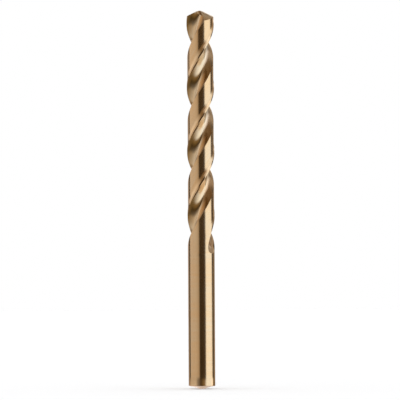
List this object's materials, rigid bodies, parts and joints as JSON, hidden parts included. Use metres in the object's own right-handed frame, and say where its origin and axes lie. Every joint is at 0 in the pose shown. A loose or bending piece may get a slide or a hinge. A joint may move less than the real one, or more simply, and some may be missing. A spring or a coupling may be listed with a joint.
{
  "type": "twist drill bit",
  "caption": "Straight-shank twist drill with helical flutes, relieved lands with ground margins and a split point, for drilling round holes in metal.",
  "frame": {"origin": "on the drill's axis at the tip of the shank's shallow end cone", "axes": "+Z along the axis from the shank to the point; the lips run within 9 degrees of the X axis at the point"},
  "size_m": [0.009, 0.009, 0.125],
  "materials": {
    "bronze_tool_steel": "fine-ground tool steel tempered to a bronze-gold oxide colour"
  },
  "bodies": {
    "root": {"twist_drill": "bronze_tool_steel"}
  },
  "joints": []
}
